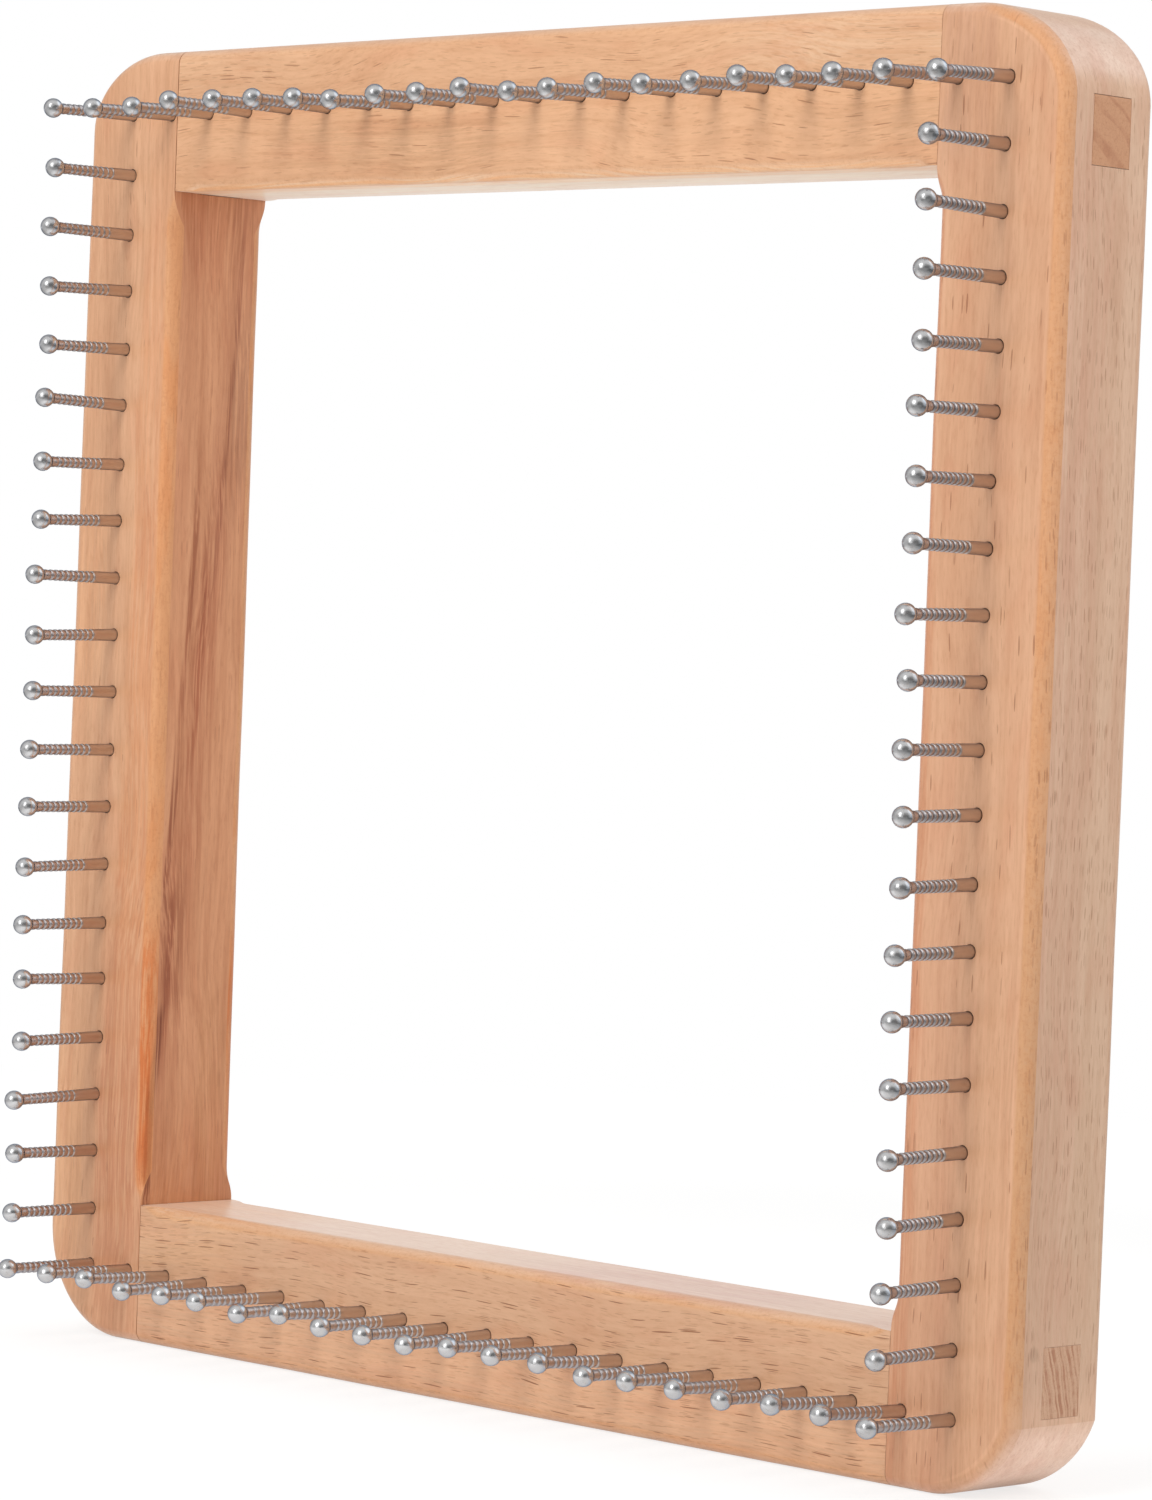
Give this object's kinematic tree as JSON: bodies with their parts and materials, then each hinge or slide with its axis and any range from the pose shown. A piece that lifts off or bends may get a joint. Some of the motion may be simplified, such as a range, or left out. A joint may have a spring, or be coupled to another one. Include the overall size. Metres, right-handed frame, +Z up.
{
  "type": "knitting board",
  "caption": "Square beech knitting frame with rounded corners, mortised and tenoned, with a row of ball-headed steel pins along every side.",
  "frame": {"origin": "centre of the bottom edge face, which the board stands on", "axes": "+X to the right as seen from the pins' side, +Y from the front face to the back face, +Z up; the pins point along -Y"},
  "size_m": [0.224, 0.0407, 0.224],
  "materials": {
    "beech": "bare, planed and sanded",
    "steel": "polished"
  },
  "bodies": {
    "root": {"stile_left": "beech", "stile_right": "beech", "rail_top": "beech", "rail_bottom": "beech", "pins_top_01_02": "steel", "pins_top_03_04": "steel", "pins_top_05_06": "steel", "pins_top_07_08": "steel", "pins_top_09_10": "steel", "pins_top_11_12": "steel", "pins_top_13_14": "steel", "pins_top_15_16": "steel", "pins_top_17_18": "steel", "pin_top_19": "steel", "pins_top_20_21": "steel", "pins_bottom_01_02": "steel", "pins_bottom_03_04": "steel", "pins_bottom_05_06": "steel", "pins_bottom_07_08": "steel", "pins_bottom_09_10": "steel", "pins_bottom_11_12": "steel", "pins_bottom_13_14": "steel", "pins_bottom_15_16": "steel", "pins_bottom_17_18": "steel", "pin_bottom_19": "steel", "pins_bottom_20_21": "steel", "pins_left_02_03": "steel", "pins_left_04_05": "steel", "pins_left_06_07": "steel", "pins_left_08_09": "steel", "pins_left_10_11": "steel", "pins_left_12_13": "steel", "pins_left_14_15": "steel", "pins_left_16_17": "steel", "pins_left_18_19": "steel", "pin_left_20": "steel", "pins_right_02_03": "steel", "pins_right_04_05": "steel", "pins_right_06_07": "steel", "pins_right_08_09": "steel", "pins_right_10_11": "steel", "pins_right_12_13": "steel", "pins_right_14_15": "steel", "pins_right_16_17": "steel", "pins_right_18_19": "steel", "pin_right_20": "steel"}
  },
  "joints": []
}
